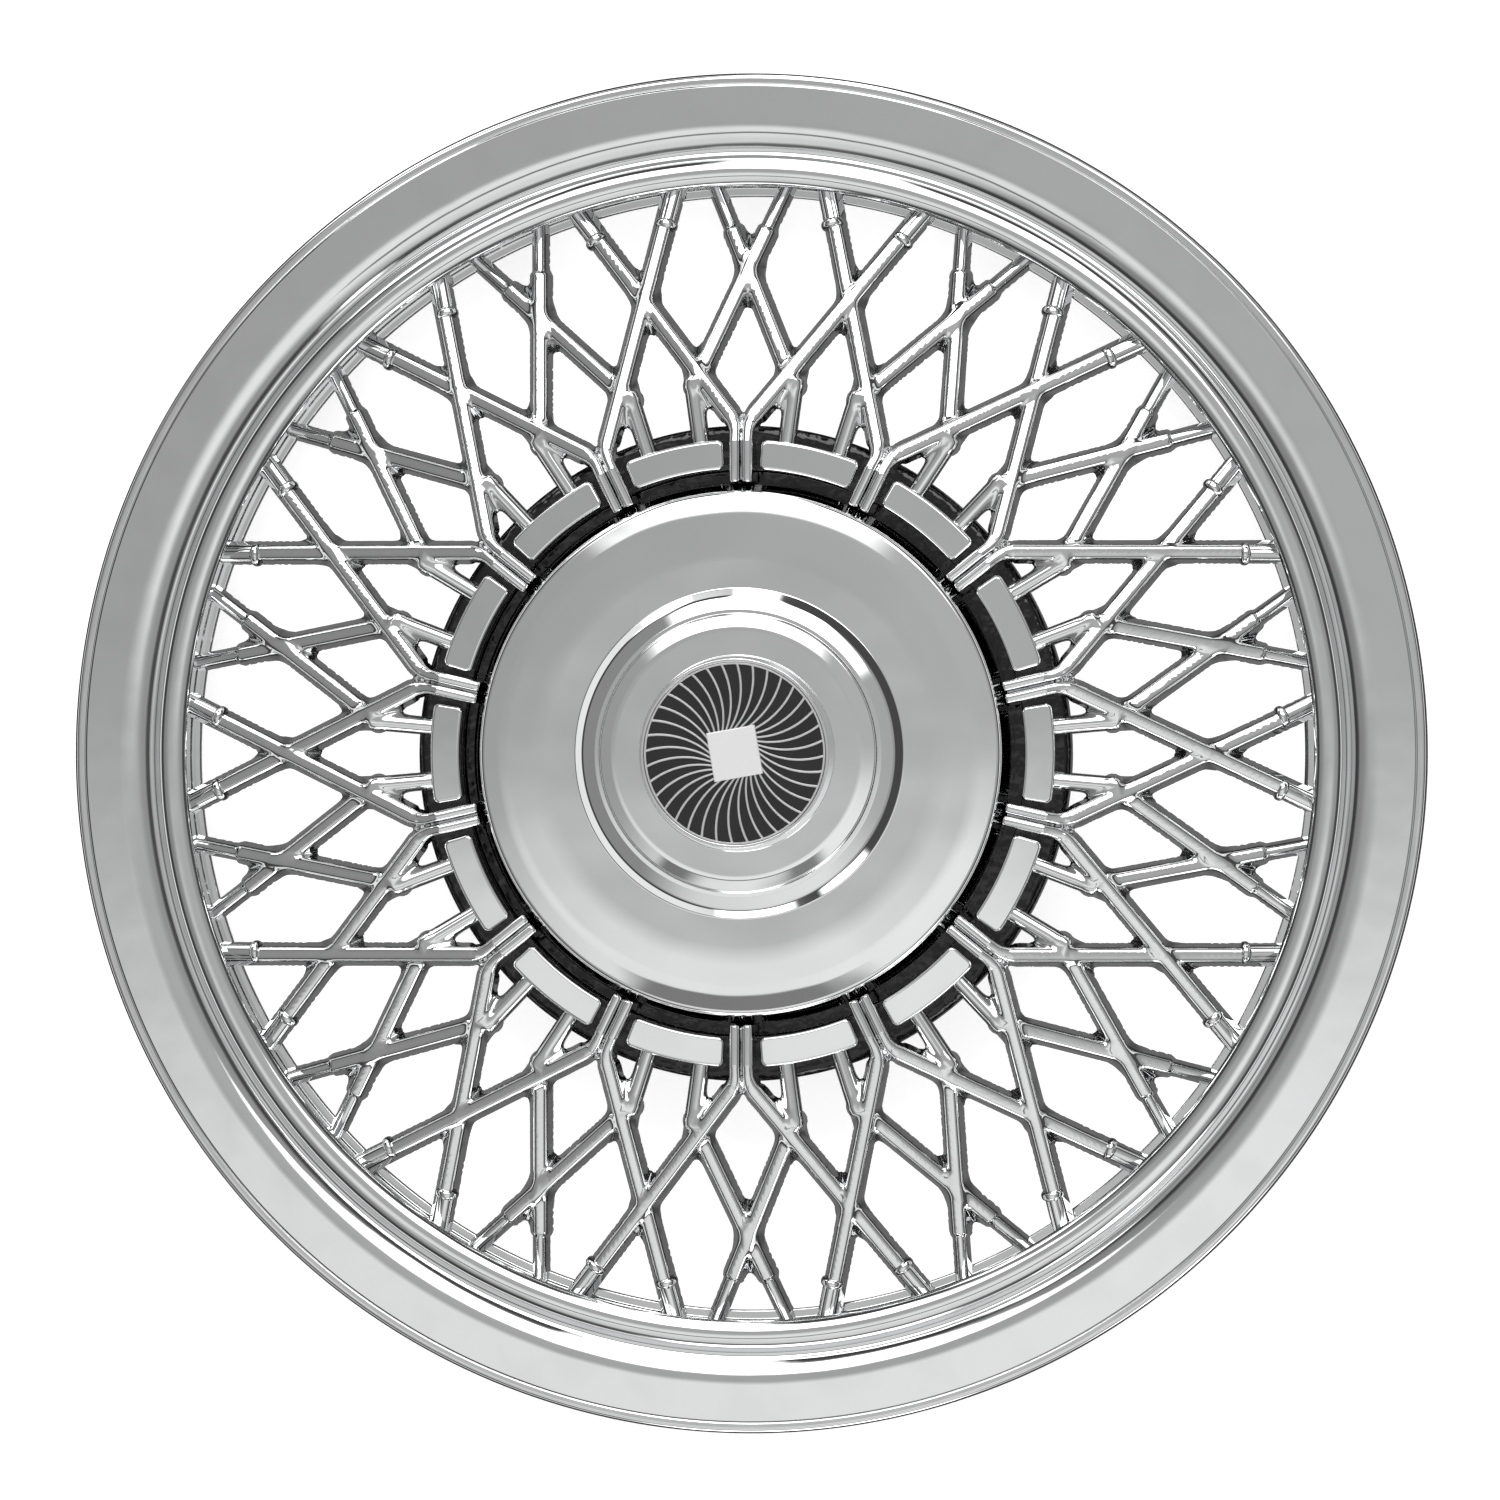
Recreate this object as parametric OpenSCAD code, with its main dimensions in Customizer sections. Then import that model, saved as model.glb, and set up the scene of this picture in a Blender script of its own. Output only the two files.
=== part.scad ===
// Wire wheel cover for a 15 inch road wheel, lying face up on the feet of its retention legs.
// Millimetres. The origin is on the axis, in the plane of the feet. +Z points out of the wheel.

/* [Outer ring] */
// Diameter over the rolled edge
cover_d = 404; // [396:1:430]
// Height of the rolled edge's front above the feet
edge_z = 30; // [27:1:40]
// Wall of the moulding
wall = 2.4; // [1.8:0.1:3]
// Radius of the rolled edge
roll_r = 1.8; // [1.4:0.1:2.2]
// Radial width of the broad convex band
band_w = 17.6; // [15:0.1:20]
// Crown of the band over its own width
band_crown = 2.6; // [1.5:0.1:4]
// Width of the dark channel between the band and the bead
channel_w = 4; // [3:0.1:5]
// Depth of the channel under the band's inner edge
channel_depth = 1.8; // [1:0.1:2.5]
// Radius of the half-round bead
bead_r = 4.2; // [3.6:0.1:5]
// Drop from the rolled edge to the front of the hoop
hoop_drop = 10; // [8:0.5:12]
// Thickness of the hoop
hoop_t = 3; // [2.5:0.1:4]
// Inward reach of the hoop from the barrel wall
hoop_reach = 2.9; // [2:0.1:5]

/* [Spokes] */
// Number of forks, each with two front and two rear spokes
forks = 14; // [10:1:16]
// Half width of a spoke's crowned top, and the crown's height over the spoke's path
spoke_r = 1.8; // [1.4:0.1:2]
// Depth of a spoke under its path
spoke_depth = 3.8; // [3:0.1:4.4]
// Draft of a spoke's flanks, in degrees
spoke_draft = 16; // [8:1:20]
// Distance of each front rib from the axis of its fork
rib_offset = 1.9; // [1.5:0.1:2.4]
// Height of the front ribs' tops above the rolled edge
rib_rise = 22.5; // [20:0.5:25]
// Distance past the hub ring's rim at which a fork parts into its two front spokes
fork_reach = 0.8; // [0:0.1:4]
// Front spoke's bearing on the barrel wall, in degrees off its fork
front_land = 18.2; // [15:0.1:20]
// Drop of a front spoke's top under the rolled edge at the barrel wall
front_drop = 4.2; // [3:0.1:5]
// Bearing of a rear stub off its fork, in degrees
stub_bearing = 7.9; // [6:0.1:10]
// Height of the rear stubs' tops above the rolled edge
stub_rise = 15; // [13:0.5:16]
// Length of a rear stub outside the pads, up to its turn into the spoke
stub_len = 19.4; // [16:0.2:22]
// Rear spoke's bearing on the barrel wall, in degrees past its fork
rear_land = 3.8; // [2:0.1:6]
// Drop of a rear spoke's top under the rolled edge at the barrel wall
rear_drop = 7; // [6:0.1:8]
// Bend radius where a fork parts
turn_r = 9; // [6:0.5:11]
// Falling length of a rib before it bends
knee_len = 2; // [1:0.5:4]
// Groove between the two ribs of a fork
rib_groove = 0.6; // [0.4:0.1:1]
// Extra height at the wall of the spokes that pass over the others
weave = 1.2; // [0.4:0.1:1.6]
// Radius of a rear stub
stub_r = 2.75; // [2.4:0.05:3]

/* [Hub] */
// Height of the hub ring's rim above the rolled edge
hub_rise = 13; // [11:0.5:14]
// Width of the hub ring's rim outside the pads
rim_w = 4.1; // [3.6:0.1:5]
// Radial width of the pads
pad_w = 8.9; // [8:0.1:10]
// Distance between the cap's foot and the pads
groove_w = 4.2; // [3.4:0.1:5]
// Height of the pads above the hub ring's rim
pad_h = 6.5; // [4:0.5:8]
// Free arc between two pads, where a fork passes
pad_gap = 10.9; // [9:0.1:13]
// Corner radius of a pad
pad_corner = 1.9; // [1:0.1:2.5]
// Ledge of the rim between the pads and the groove
pad_ledge = 0.4; // [0.2:0.1:0.8]
// Depth of the groove beside the cap, under the hub ring's rim
groove_depth = 6; // [4:0.5:8]
// Reach of the shelf under the cap, inwards from the cap's foot
shelf_w = 10; // [7:0.5:13]

/* [Centre cap] */
// Diameter of the cap at its foot
cap_foot_d = 160; // [156:0.5:162]
// Height of the cap's flat face above the rolled edge
cap_rise = 26; // [23:0.5:29]
// Height of the cap's tapered side
cap_side_h = 9; // [6:0.5:12]
// Taper of the cap's side on the radius
cap_taper = 3.4; // [1:0.1:5]
// Wall of the cap
cap_wall = 2.2; // [1.8:0.1:2.6]
// Edge radius of the cap's face
cap_edge_r = 1.6; // [1:0.1:2]
// Diameter of the boss at its foot
boss_d = 97; // [93:0.5:101]
// Height of the boss over the cap's face
boss_h = 5.5; // [4:0.5:8]
// Radius of each of the boss's rounded rings
boss_ring_r = 2.2; // [1.6:0.1:2.6]
// Diameter of the button at its foot
button_d = 58; // [54:0.5:62]
// Height of the button over the boss
button_h = 7; // [5:0.5:9]
// Taper of the button's side on the radius
button_taper = 1; // [0.5:0.1:1.6]
// Width of the button's rim around the emblem
button_rim = 1; // [0.8:0.1:1.6]
// Number of snap tabs under the cap
cap_tabs = 7; // [5:1:9]
// Width of a snap tab, in degrees
cap_tab_arc = 12; // [8:1:16]

/* [Emblem] */
// Thickness of the emblem's disc
emblem_t = 1.6; // [1.2:0.1:2]
// Number of curved lines on the emblem
swirl_lines = 40; // [24:1:44]
// Width of a curved line
swirl_w = 0.6; // [0.4:0.05:0.8]
// Radius of the curve of each line
swirl_curve_r = 21; // [19:0.5:26]
// Height of the lines and the rim over the dark field
swirl_h = 0.5; // [0.3:0.1:0.8]
// Side of the bare square plate
plate_side = 14.6; // [12:0.1:17]
// Turn of the square plate, in degrees
plate_turn = 10; // [0:1:45]
// Height of the square plate over the dark field
plate_h = 0.9; // [0.6:0.1:1.2]
// Height of the emblem's rim over its lines
rim_step = 0.1; // [0.05:0.05:0.3]

/* [Retention] */
// Number of retention legs
legs = 14; // [10:1:16]
// Width of a leg along the ring
leg_w = 18; // [12:1:24]
// Thickness of a leg
leg_t = 3; // [2.4:0.1:3.6]
// Reach of a leg's snap nose past its outer face
nose_reach = 2.2; // [1.5:0.1:2.8]
// Diameter of the spring wire
wire_d = 3.5; // [3:0.1:4]
// Height of the wire's centre above the feet
wire_z = 5.2; // [4.5:0.1:7]
// Inward step of the wire where the tyre valve passes
valve_step = 10; // [6:0.5:12]
// Half the arc of that step, in degrees
valve_arc = 3; // [2:0.5:4]
// Arc in which the wire goes back to its ring, in degrees
valve_blend = 6; // [5:0.5:8]

/* [Fits] */
// Clearance round the wire in the legs' notches
wire_gap = 0.15; // [0.1:0.05:0.3]
// Clearance between the cap and the ribs' inner ends
cap_gap = 0.3; // [0.2:0.05:0.5]
// Clearance between a snap tab and the shelf
tab_gap = 0.2; // [0.1:0.05:0.4]
// Clearance round the emblem's disc
emblem_gap = 0.1; // [0.05:0.05:0.2]

/* [Hidden] */
$fn = 96;
ARC_STEPS = 8;
EMBED = 0.8;
PAD_STEPS = 4;
STUB_LIFT = 0.4;
WIRE_SIDES = 12;

sector = 360 / forks;
edge_r = cover_d / 2;
band_out_r = edge_r - 2 * roll_r;
band_in_r = band_out_r - band_w;
bead_c_r = band_in_r - channel_w - bead_r;
wall_r = bead_c_r - bead_r;
hoop_r = wall_r - hoop_reach;
hoop_z = edge_z - hoop_drop;
bead_c_z = edge_z - channel_depth;
channel_z = edge_z - channel_depth;
channel_back_z = channel_z - wall;
land_r = wall_r + wall / 2;

cap_foot_r = cap_foot_d / 2;
hub_z = edge_z + hub_rise;
pad_in_r = cap_foot_r + groove_w;
pad_out_r = pad_in_r + pad_w;
hub_r = pad_out_r + rim_w;
fork_r = hub_r + fork_reach;
stub_turn_r = pad_out_r + stub_len;
pad_mid_r = (pad_in_r + pad_out_r) / 2;
pad_arc = sector - pad_gap / pad_mid_r * 180 / PI;
groove_r = pad_in_r - pad_ledge;
shelf_z = hub_z - groove_depth;
shelf_r = cap_foot_r - shelf_w;

cap_z = edge_z + cap_rise;
cap_edge_x = cap_foot_r - cap_taper;
boss_r = boss_d / 2;
boss_z = cap_z + boss_h;
boss_top_r = boss_r - 2 * boss_ring_r - boss_h;
button_r = button_d / 2;
button_z = boss_z + button_h;
button_top_r = button_r - button_taper;
seat_r = button_top_r - button_rim;
seat_z = button_z - emblem_t - swirl_h - rim_step;
emblem_r = seat_r - emblem_gap;

leg_out_r = band_in_r - channel_w / 2 + leg_t / 2;
leg_in_r = leg_out_r - leg_t;
wire_r = wire_d / 2;
notch_r = wire_r + wire_gap;
wire_ring_r = leg_in_r - notch_r;

// Points along an arc about c, from angle a0 to angle a1.
function arc(c, r, a0, a1, steps = ARC_STEPS) =
    [for (i = [0:steps]) let (a = a0 + (a1 - a0) * i / steps) c + r * [cos(a), sin(a)]];

// Half angle that an arc of this chord and crown spans at its centre.
function crown_angle(chord, crown) = 2 * atan(2 * crown / chord);

// Section of the outer ring: rolled edge, convex band, channel, bead, barrel wall and hoop.
module ring_section() {
    half = crown_angle(band_w, band_crown);
    band_r = band_w / 2 / sin(half);
    band_c = [band_out_r - band_w / 2, edge_z + band_crown - band_r];
    bead_c = [bead_c_r, bead_c_z];
    polygon(concat(
        arc([edge_r - roll_r, edge_z - roll_r], roll_r, -70, 130),
        arc(band_c, band_r, 90 - half, 90 + half),
        [[band_in_r, channel_z], [bead_c_r + bead_r, channel_z]],
        arc(bead_c, bead_r, 15, 180),
        [[wall_r, hoop_z], [hoop_r, hoop_z], [hoop_r, hoop_z - hoop_t], [wall_r + wall, hoop_z - hoop_t]],
        arc(bead_c, bead_r - wall, 180, 15),
        [[bead_c_r + bead_r - wall, channel_back_z], [band_in_r, channel_back_z]],
        arc(band_c, band_r - wall, 90 + half, 90 - half)
    ));
}

// Section of the hub ring: cap shelf, groove, rim and outer skirt.
module hub_section() {
    polygon([
        [shelf_r, shelf_z], [groove_r, shelf_z], [groove_r, hub_z], [hub_r - wall / 2, hub_z],
        [hub_r, hub_z - wall / 2], [hub_r, shelf_z - wall], [hub_r - wall, shelf_z - wall],
        [hub_r - wall, hub_z - wall], [groove_r + wall, hub_z - wall], [groove_r + wall, shelf_z - wall],
        [shelf_r, shelf_z - wall]
    ]);
}

// Annular sector of half angle half_arc, with its middle on +Y.
module ring_sector(r_in, r_out, half_arc) {
    far = 2 * r_out;
    intersection() {
        difference() {
            circle(r = r_out);
            circle(r = r_in);
        }
        polygon([[0, 0], far * [-sin(half_arc), cos(half_arc)], far * [sin(half_arc), cos(half_arc)]]);
    }
}

// Right half of a pad's outline about +Y, from its outer edge to its inner edge.
function pad_half(outer = pad_out_r - pad_corner, inner = pad_in_r + pad_corner) =
    let (outer_a = pad_arc / 2 - asin(pad_corner / outer), inner_a = pad_arc / 2 - asin(pad_corner / inner))
    concat(
        arc([0, 0], pad_out_r, 90, 90 - outer_a * (1 - 1 / PAD_STEPS), PAD_STEPS - 1),
        arc(outer * [sin(outer_a), cos(outer_a)], pad_corner, 90 - outer_a, -pad_arc / 2, PAD_STEPS),
        arc(inner * [sin(inner_a), cos(inner_a)], pad_corner, -pad_arc / 2, -90 - inner_a, PAD_STEPS),
        arc([0, 0], pad_in_r, 90 - inner_a * (1 - 1 / PAD_STEPS), 90, PAD_STEPS - 1)
    );

// Plan of one pad with rounded corners.
module pad_plan() {
    half = pad_half();
    polygon(concat(half, [for (i = [len(half) - 2:-1:1]) [-half[i][0], half[i][1]]]));
}

// One pad on the hub ring's rim.
module pad() {
    translate([0, 0, hub_z - EMBED]) linear_extrude(pad_h + EMBED) pad_plan();
}

// Hollow of one pad, open to the back.
module pad_hollow() {
    inset = wall / pad_mid_r * 180 / PI;
    translate([0, 0, hub_z - wall - EMBED])
        linear_extrude(pad_h + EMBED) ring_sector(pad_in_r + wall, pad_out_r - wall, pad_arc / 2 - inset);
}

// Hub ring with its hollow pads.
module hub_ring() {
    difference() {
        union() {
            rotate_extrude() hub_section();
            at_forks() rotate(sector / 2) pad();
        }
        at_forks() rotate(sector / 2) pad_hollow();
    }
}

// Section of a spoke about its path: crowned top, drafted flanks and a flat back.
module spoke_section() {
    back_x = spoke_r + tan(spoke_draft) * (spoke_depth + spoke_r / 2);
    polygon([
        [-spoke_r / 2, spoke_r], [spoke_r / 2, spoke_r], [spoke_r, spoke_r / 2],
        [back_x, -spoke_depth], [-back_x, -spoke_depth], [-spoke_r, spoke_r / 2]
    ]);
}

// Moves the +Y axis at the origin onto the line from point a to point b.
module along(a, b) {
    d = b - a;
    climb = atan2(d[2], norm([d[0], d[1]]));
    translate(a) rotate([0, 0, -atan2(d[0], d[1])]) rotate([climb, 0, 0]) children();
}

// Straight spoke between two points of its path.
module spoke_run(a, b) {
    length = norm(b - a);
    along(a, b) translate([0, length, 0]) rotate([90, 0, 0]) linear_extrude(length) spoke_section();
}

// Front spoke's path, on the right of a fork on +Y: its corner, its landing and the plane between them.
front_top_z = edge_z + rib_rise;
front_land_x = land_r * sin(front_land);
front_land_y = land_r * cos(front_land);
front_turn = atan2(front_land_x - rib_offset, front_land_y - fork_r);
front_tangent = turn_r * tan(front_turn / 2);
knee_y = fork_r - front_tangent - knee_len;
front_slope = (rib_rise + front_drop) / (front_land_y - knee_y);
front_start_x = rib_offset + front_tangent * sin(front_turn);
front_start_y = fork_r + front_tangent * cos(front_turn);

// Front spoke's path centre at a given y, lifted at the wall by lift.
function front_z(y, lift) =
    front_top_z - spoke_r - (y - knee_y) * front_slope + lift * (y - knee_y) / (front_land_y - knee_y);

// Right-hand front spoke, from the fork's root to the barrel wall.
module front_spoke(lift) {
    a = [front_start_x, front_start_y, front_z(front_start_y, lift)];
    b = [front_land_x, front_land_y, front_z(front_land_y, lift)];
    back = (a - b) / norm(a - b);
    spoke_run(a + EMBED * back, b);
}

// Plan of a fork's right-hand rib and its bend.
module rib_plan() {
    half_w = rib_offset - rib_groove / 2;
    bend_y = fork_r - front_tangent;
    far = 2 * turn_r;
    translate([rib_offset - half_w, cap_foot_r + cap_gap])
        square([2 * half_w, bend_y - cap_foot_r - cap_gap + EMBED / 4]);
    translate([rib_offset + turn_r, bend_y]) intersection() {
        difference() {
            circle(r = turn_r + half_w);
            circle(r = turn_r - half_w);
        }
        polygon([[0, 0], [-far, 0], far * [-cos(front_turn), sin(front_turn)]]);
    }
}

// Side view of a fork's root, level over the hub ring and then falling with the spokes.
module fork_side() {
    end_y = front_start_y + spoke_r;
    end_z = front_z(end_y, 0) + spoke_r;
    depth = spoke_r + spoke_depth;
    polygon([
        [cap_foot_r + cap_gap, front_top_z], [knee_y, front_top_z], [end_y, end_z], [end_y, end_z - depth],
        [hub_r, front_z(hub_r, 0) - spoke_depth], [hub_r - wall / 2, hub_z - EMBED],
        [cap_foot_r + cap_gap, hub_z - EMBED]
    ]);
}

// A fork's root on +Y: two ribs over the hub ring that part into the front spokes.
module fork_root() {
    intersection() {
        linear_extrude(2 * front_top_z) {
            rib_plan();
            mirror([1, 0]) rib_plan();
        }
        translate([-hub_r, 0, 0]) rotate([90, 0, 90]) linear_extrude(2 * hub_r) fork_side();
    }
}

// Right-hand rear spoke on its stub, which bears stub_bearing to the right of the fork.
module rear_spoke(lift) {
    path_z = edge_z + stub_rise - spoke_r;
    corner_r = stub_turn_r - stub_r;
    a = [corner_r * sin(stub_bearing), corner_r * cos(stub_bearing), path_z];
    b = [-land_r * sin(rear_land), land_r * cos(rear_land), edge_z - rear_drop - spoke_r + lift];
    spoke_run(a, b);
}

// Stub that carries a rear spoke, straight out from the pad ring on +Y.
module rear_stub() {
    root_r = pad_out_r - EMBED;
    length = stub_turn_r - root_r;
    translate([0, root_r, edge_z + stub_rise - stub_r + STUB_LIFT]) rotate([-90, 0, 0]) rotate_extrude()
        polygon([
            [0, 0], [stub_r, 0], [stub_r, length - stub_r / 2], [stub_r / 2, length], [0, length]
        ]);
}

// Copies at every fork.
module at_forks() {
    for (i = [0:forks - 1]) rotate(i * sector) children();
}

// Section of a retention leg, from the channel's back to the foot, with the wire's notch.
module leg_section() {
    top_z = channel_back_z + EMBED;
    nose_z = wire_z + wire_d;
    lip = notch_r;
    difference() {
        polygon([
            [leg_in_r, top_z], [leg_out_r, top_z], [leg_out_r, nose_z + nose_reach],
            [leg_out_r + nose_reach, nose_z], [leg_out_r, 0], [leg_in_r - lip / 2, 0],
            [leg_in_r - lip, wire_z - notch_r - lip / 2], [leg_in_r - lip, wire_z + notch_r + lip / 2],
            [leg_in_r, wire_z + notch_r + 2 * lip]
        ]);
        translate([wire_ring_r, wire_z]) circle(r = notch_r);
    }
}

// One leg with its middle on +Y.
module leg() {
    arc_deg = leg_w / leg_out_r * 180 / PI;
    rotate(90 - arc_deg / 2) rotate_extrude(angle = arc_deg) leg_section();
}

// The one-piece moulding: ring, lattice, hub ring, pads and legs.
module cover_moulding() {
    color("silver") union() {
        union() {
            rotate_extrude() ring_section();
            hub_ring();
            for (i = [0:legs - 1]) rotate(i * 360 / legs) leg();
            at_forks() fork_root();
            for (side = [-1, 1]) at_forks() rotate(side * stub_bearing) rear_stub();
        }
        at_forks() front_spoke(weave);
        at_forks() mirror([1, 0, 0]) front_spoke(0);
        at_forks() rear_spoke(0);
        at_forks() mirror([1, 0, 0]) rear_spoke(weave);
    }
}

// Outer outline of the cap's boss: two rounded rings and a cove down to the face.
function boss_outline() = concat(
    [[boss_top_r, boss_z]],
    arc([boss_top_r + boss_ring_r, boss_z - boss_ring_r], boss_ring_r, 90, 0),
    arc([boss_top_r + 3 * boss_ring_r, boss_z - 2 * boss_ring_r], boss_ring_r, 120, 0),
    [[boss_r - boss_ring_r / 2, cap_z + boss_ring_r / 4], [boss_r, cap_z]]
);

// Section of the centre cap, from the emblem's seat to the foot.
module cap_section() {
    foot_z = shelf_z;
    side_z = cap_z - cap_side_h;
    polygon(concat(
        [[0, seat_z], [seat_r, seat_z], [seat_r, button_z], [button_top_r, button_z], [button_r, boss_z]],
        boss_outline(),
        arc([cap_edge_x - cap_edge_r, cap_z - cap_edge_r], cap_edge_r, 90, 0),
        [
            [cap_foot_r, side_z], [cap_foot_r, foot_z], [cap_foot_r - cap_wall, foot_z],
            [cap_foot_r - cap_wall, side_z - cap_wall / 2], [cap_edge_x - cap_wall, cap_z - cap_wall],
            [boss_r - cap_wall, cap_z - cap_wall], [boss_top_r, boss_z - cap_wall],
            [button_r - cap_wall, boss_z - cap_wall], [seat_r - cap_wall, seat_z - cap_wall],
            [0, seat_z - cap_wall]
        ]
    ));
}

// Section of a snap tab that hooks under the shelf.
module tab_section() {
    tab_r = shelf_r - tab_gap;
    under_z = shelf_z - wall - tab_gap;
    polygon([
        [tab_r - cap_wall, cap_z - cap_wall / 2], [tab_r, cap_z - cap_wall / 2], [tab_r, under_z],
        [tab_r + cap_wall / 2, under_z - cap_wall / 4], [tab_r - cap_wall / 2, under_z - 2 * cap_wall],
        [tab_r - cap_wall, under_z - 2 * cap_wall]
    ]);
}

// The separate cap with its boss, button and snap tabs.
module centre_cap() {
    color("gainsboro") union() {
        rotate_extrude() cap_section();
        for (i = [0:cap_tabs - 1]) rotate(90 - cap_tab_arc / 2 + i * 360 / cap_tabs)
            rotate_extrude(angle = cap_tab_arc) tab_section();
    }
}

// One curved line from the emblem's middle to its rim.
module swirl_line() {
    intersection() {
        translate([swirl_curve_r, 0]) difference() {
            circle(r = swirl_curve_r + swirl_w / 2);
            circle(r = swirl_curve_r - swirl_w / 2);
        }
        square([emblem_r, emblem_r]);
        difference() {
            circle(r = emblem_r - swirl_w / 2);
            circle(r = plate_side / 2 - swirl_w);
        }
    }
}

// The emblem: dark disc with raised rim, curved lines and a bare square plate.
module emblem_disc() {
    color("dimgray") translate([0, 0, seat_z]) union() {
        cylinder(r = emblem_r, h = emblem_t);
        difference() {
            cylinder(r = emblem_r, h = emblem_t + swirl_h + rim_step);
            translate([0, 0, emblem_t]) cylinder(r = emblem_r - swirl_w, h = 2 * swirl_h);
        }
        for (i = [0:swirl_lines - 1]) rotate(i * 360 / swirl_lines) translate([0, 0, emblem_t - swirl_h])
            linear_extrude(2 * swirl_h) swirl_line();
        rotate(plate_turn) translate([-plate_side / 2, -plate_side / 2, 0])
            cube([plate_side, plate_side, emblem_t + plate_h]);
    }
}

// Inward step of the wire at angle t, from the whole step at the valve to none beside it.
function wire_step(t) = valve_step * (1 + cos(180 * min(1, max(0, abs(t) - valve_arc) / valve_blend))) / 2;

// Centre of the wire at angle t, for t from -180 to 180.
function wire_point(t) = (wire_ring_r - wire_step(t)) * [cos(t), sin(t)];

// One ring of points round the wire at angle t, square to its path.
function wire_ring(t) =
    let (run = wire_point(t + 0.1) - wire_point(t - 0.1), out = [run[1], -run[0]] / norm(run))
    let (c = wire_point(t))
    [for (k = [0:WIRE_SIDES - 1]) let (w = 360 * k / WIRE_SIDES)
        [c[0] + wire_r * cos(w) * out[0], c[1] + wire_r * cos(w) * out[1], wire_z + wire_r * sin(w)]];

// The spring wire: a closed ring with one inward step on the +X side for the tyre valve.
module retention_wire() {
    near = valve_arc + valve_blend;
    angles = concat([for (i = [-8:8]) near * i / 8], [for (i = [1:71]) near + (360 - 2 * near) * i / 72]);
    count = len(angles);
    color("darkgray") polyhedron(
        points = [for (t = angles) each wire_ring(t > 180 ? t - 360 : t)],
        faces = [for (i = [0:count - 1], k = [0:WIRE_SIDES - 1])
            let (j = (i + 1) % count, m = (k + 1) % WIRE_SIDES)
            [i * WIRE_SIDES + k, j * WIRE_SIDES + k, j * WIRE_SIDES + m, i * WIRE_SIDES + m]]
    );
}

cover_moulding();
centre_cap();
emblem_disc();
retention_wire();
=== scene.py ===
"""Dressed model of a chrome wire wheel cover, lying face up on the feet of its retention legs.

Every length in the helpers is in millimetres and becomes metres when a mesh is made.
The axis is +Z, the photograph's up is +Y and its right is +X.
"""

import math
from types import SimpleNamespace

import bmesh
import bpy
import numpy as np
from bpy.props import FloatProperty, FloatVectorProperty, IntProperty, PointerProperty
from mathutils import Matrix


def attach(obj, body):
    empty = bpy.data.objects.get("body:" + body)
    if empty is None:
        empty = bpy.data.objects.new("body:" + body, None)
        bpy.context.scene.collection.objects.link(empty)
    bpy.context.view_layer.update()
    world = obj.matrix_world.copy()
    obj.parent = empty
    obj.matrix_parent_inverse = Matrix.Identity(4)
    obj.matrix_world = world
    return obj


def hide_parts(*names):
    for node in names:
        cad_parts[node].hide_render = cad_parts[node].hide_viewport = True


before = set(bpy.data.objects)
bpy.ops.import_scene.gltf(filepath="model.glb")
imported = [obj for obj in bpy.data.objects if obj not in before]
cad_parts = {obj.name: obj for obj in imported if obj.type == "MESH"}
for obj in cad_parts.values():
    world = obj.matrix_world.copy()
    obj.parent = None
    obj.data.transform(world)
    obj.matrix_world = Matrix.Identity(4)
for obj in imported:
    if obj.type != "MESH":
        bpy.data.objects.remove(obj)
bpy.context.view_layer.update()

bl_info = {
    "name": "Wire Wheel Cover",
    "version": (1, 0, 0),
    "blender": (4, 5, 0),
    "location": "3D View > Sidebar > Wheel Cover",
    "description": "Builds the visible pieces, finishes and stage of a wire wheel cover",
    "category": "Object",
}

MM = 0.001
BODY = "root"

# Degrees between the points of a fillet that is too small to need more
COARSE_STEP = 15.0


# Meshes

def make_piece(name, points, quads, triangles=(), normals=None, material=None):
    """Mesh object from points in millimetres, with exact normals where they are given."""
    quads = np.asarray(quads, np.int32).reshape(-1, 4)
    triangles = np.asarray(triangles, np.int32).reshape(-1, 3)
    mesh = bpy.data.meshes.new(name)
    mesh.vertices.add(len(points))
    mesh.vertices.foreach_set("co", (np.asarray(points) * MM).astype(np.float32).ravel())
    corners = np.concatenate([quads.ravel(), triangles.ravel()])
    sizes = np.concatenate([np.full(len(quads), 4), np.full(len(triangles), 3)]).astype(np.int32)
    mesh.loops.add(len(corners))
    mesh.loops.foreach_set("vertex_index", corners)
    mesh.polygons.add(len(sizes))
    mesh.polygons.foreach_set("loop_start", np.concatenate([[0], np.cumsum(sizes)[:-1]]).astype(np.int32))
    mesh.update(calc_edges=True)
    mesh.validate()
    mesh.polygons.foreach_set("use_smooth", np.ones(len(mesh.polygons), bool))
    if normals is not None:
        mesh.normals_split_custom_set_from_vertices(np.asarray(normals, np.float32))
    piece = bpy.data.objects.new(name, mesh)
    bpy.context.scene.collection.objects.link(piece)
    if material:
        mesh.materials.append(material)
    return piece


def join_parts(parts):
    """One set of points, quads, triangles and normals out of several."""
    points, quads, triangles, normals, base = [], [], [], [], 0
    for p, q, t, n in parts:
        points.append(p)
        normals.append(n)
        quads.append(np.asarray(q, int).reshape(-1, 4) + base)
        triangles.append(np.asarray(t, int).reshape(-1, 3) + base)
        base += len(p)
    return np.vstack(points), np.vstack(quads), np.vstack(triangles), np.vstack(normals)


def turn_about(degrees):
    """Matrix of a turn about the axis."""
    a = math.radians(degrees)
    return np.array([[math.cos(a), -math.sin(a), 0], [math.sin(a), math.cos(a), 0], [0, 0, 1]])


def turned(part, degrees):
    """The part turned about the axis."""
    points, quads, triangles, normals = part
    turn = turn_about(degrees)
    return points @ turn.T, quads, triangles, normals @ turn.T


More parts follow.
